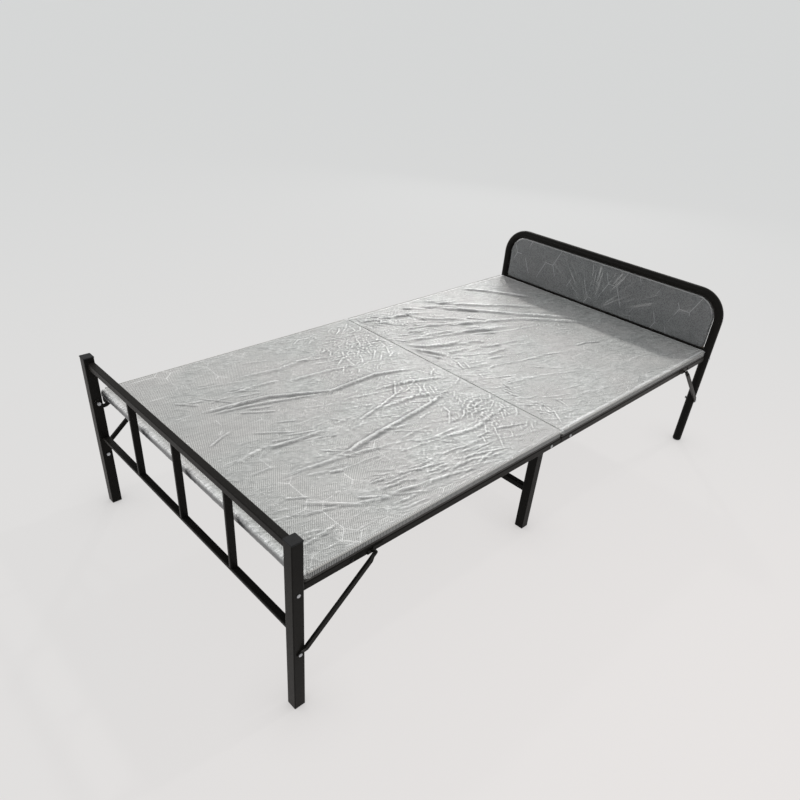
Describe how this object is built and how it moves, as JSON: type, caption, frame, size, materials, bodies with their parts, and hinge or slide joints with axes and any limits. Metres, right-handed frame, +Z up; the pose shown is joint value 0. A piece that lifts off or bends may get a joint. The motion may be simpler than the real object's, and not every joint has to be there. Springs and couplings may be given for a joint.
{
  "type": "folding cot",
  "caption": "Folding single bed: two padded deck halves on a hinged steel tube frame, with a barred foot frame, a bent-tube padded headboard, braces and a mid leg.",
  "frame": {"origin": "on the floor, at the centre of the bounding box, under the fold between the two deck halves", "axes": "+X along the bed from the foot end towards the headboard, +Y across the bed towards its left side, +Z up"},
  "size_m": [1.948, 1.039, 0.622],
  "materials": {
    "frame_paint": "satin black powder paint",
    "zinc_plate": "bright zinc plate",
    "black_plastic": "moulded matte",
    "deck_board": "dark faced fibreboard",
    "fibreboard": "plain fibreboard",
    "pad_fabric": "ribbed mesh knit over sponge",
    "headboard_fabric": "grey knit over thin sponge"
  },
  "bodies": {
    "deck_foot": {"foot_side_rails": "frame_paint", "foot_cross_tubes": "frame_paint", "foot_board": "deck_board", "foot_board_screws": "zinc_plate", "foot_pad": "pad_fabric", "foot_rail_plugs": "black_plastic", "foot_rail_rivets": "frame_paint", "foot_hooks": "frame_paint", "foot_pivot_pins": "zinc_plate", "foot_fold_rivets": "zinc_plate"},
    "mid_frame": {"mid_legs": "frame_paint", "mid_cross_bar": "frame_paint", "mid_top_bar": "frame_paint", "fold_links": "frame_paint", "mid_feet": "black_plastic"},
    "deck_head": {"head_side_rails": "frame_paint", "head_cross_tubes": "frame_paint", "head_board": "deck_board", "head_board_screws": "zinc_plate", "head_pad": "pad_fabric", "head_rail_plugs": "black_plastic", "head_rail_rivets": "frame_paint", "head_hooks": "frame_paint", "head_pivot_pins": "zinc_plate", "head_fold_rivets": "zinc_plate"},
    "foot_frame": {"foot_legs": "frame_paint", "foot_leg_caps": "black_plastic", "foot_leg_feet": "black_plastic", "foot_top_rail": "frame_paint", "foot_lower_rail": "frame_paint", "foot_uprights": "frame_paint", "foot_lugs": "frame_paint", "foot_lug_spacers": "zinc_plate", "foot_lug_bolts": "zinc_plate", "foot_lug_nuts": "zinc_plate", "foot_brace_bolts": "zinc_plate", "foot_brace_nuts": "zinc_plate"},
    "head_frame": {"head_hoop": "frame_paint", "head_cross_bar": "frame_paint", "headboard": "fibreboard", "headboard_cover": "headboard_fabric", "headboard_tabs": "frame_paint", "headboard_screws": "zinc_plate", "head_feet": "black_plastic", "head_lugs": "frame_paint", "head_lug_bolts": "zinc_plate", "head_lug_nuts": "zinc_plate", "head_brace_bolts": "zinc_plate", "head_brace_nuts": "zinc_plate"},
    "foot_left_brace": {"foot_brace_left": "frame_paint", "foot_stud_left": "frame_paint"},
    "foot_right_brace": {"foot_brace_right": "frame_paint", "foot_stud_right": "frame_paint"},
    "head_left_brace": {"head_brace_left": "frame_paint", "head_stud_left": "frame_paint"},
    "head_right_brace": {"head_brace_right": "frame_paint", "head_stud_right": "frame_paint"}
  },
  "joints": [
    {"name": "centre_fold", "type": "hinge", "parent": "deck_foot", "child": "mid_frame", "pos_m": [-0.048, 0, 0.37], "axis": [0, 1, 0], "range_deg": [0, 90]},
    {"name": "head_fold", "type": "hinge", "parent": "mid_frame", "child": "deck_head", "pos_m": [0.048, 0, 0.37], "axis": [0, 1, 0], "range_deg": [0, 90]},
    {"name": "foot_leg_fold", "type": "hinge", "parent": "deck_foot", "child": "foot_frame", "pos_m": [-0.927, 0, 0.37], "axis": [0, -1, 0], "range_deg": [0, 90]},
    {"name": "head_leg_fold", "type": "hinge", "parent": "deck_head", "child": "head_frame", "pos_m": [0.927, 0, 0.37], "axis": [0, 1, 0], "range_deg": [0, 90]},
    {"name": "foot_left_brace_fold", "type": "hinge", "parent": "foot_frame", "child": "foot_left_brace", "pos_m": [-0.958, 0.5125, 0.188], "axis": [0, -1, 0], "range_deg": [0, 40]},
    {"name": "foot_right_brace_fold", "type": "hinge", "parent": "foot_frame", "child": "foot_right_brace", "pos_m": [-0.958, -0.5125, 0.188], "axis": [0, -1, 0], "range_deg": [0, 40]},
    {"name": "head_left_brace_fold", "type": "hinge", "parent": "head_frame", "child": "head_left_brace", "pos_m": [0.958, 0.5125, 0.188], "axis": [0, 1, 0], "range_deg": [0, 40]},
    {"name": "head_right_brace_fold", "type": "hinge", "parent": "head_frame", "child": "head_right_brace", "pos_m": [0.958, -0.5125, 0.188], "axis": [0, 1, 0], "range_deg": [0, 40]}
  ],
  "couplings": [
    {"joint": "head_fold", "follows": "centre_fold", "ratio": 1},
    {"joint": "foot_leg_fold", "follows": "centre_fold", "ratio": 1},
    {"joint": "head_leg_fold", "follows": "centre_fold", "ratio": 1},
    {"joint": "foot_left_brace_fold", "follows": "centre_fold", "ratio": 0.4444},
    {"joint": "foot_right_brace_fold", "follows": "centre_fold", "ratio": 0.4444},
    {"joint": "head_left_brace_fold", "follows": "centre_fold", "ratio": 0.4444},
    {"joint": "head_right_brace_fold", "follows": "centre_fold", "ratio": 0.4444}
  ]
}
